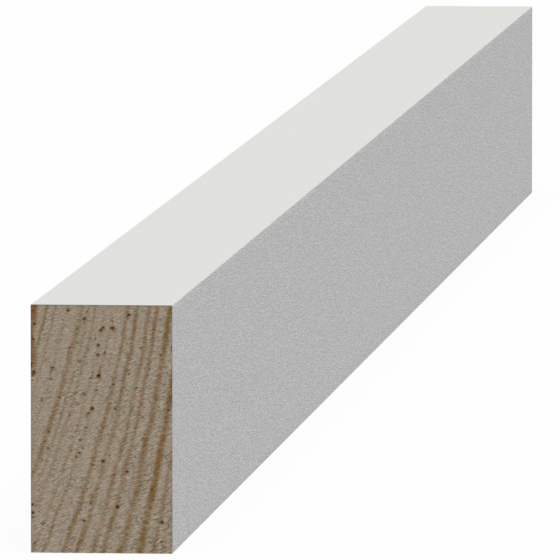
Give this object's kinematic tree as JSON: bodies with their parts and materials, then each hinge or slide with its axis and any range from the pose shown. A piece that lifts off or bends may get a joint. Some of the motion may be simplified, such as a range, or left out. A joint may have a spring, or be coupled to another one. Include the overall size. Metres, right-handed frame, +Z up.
{
  "type": "flat trim moulding",
  "caption": "Straight length of square-edged flat trim moulding, pine primed white on its long faces, with bare end grain at the square-cut ends.",
  "frame": {"origin": "middle of the underside, halfway along the board", "axes": "+Y along the board's length, away from the end the picture shows; +X out of the wide show face, with the wide back face at -X; +Z up, out of the upper narrow edge"},
  "size_m": [0.019, 0.66, 0.0333],
  "materials": {
    "primed_pine": "matt white factory primer",
    "bare_pine_end": "saw-cut end grain, unfinished"
  },
  "bodies": {
    "root": {"trim_board": "primed_pine"}
  },
  "joints": []
}
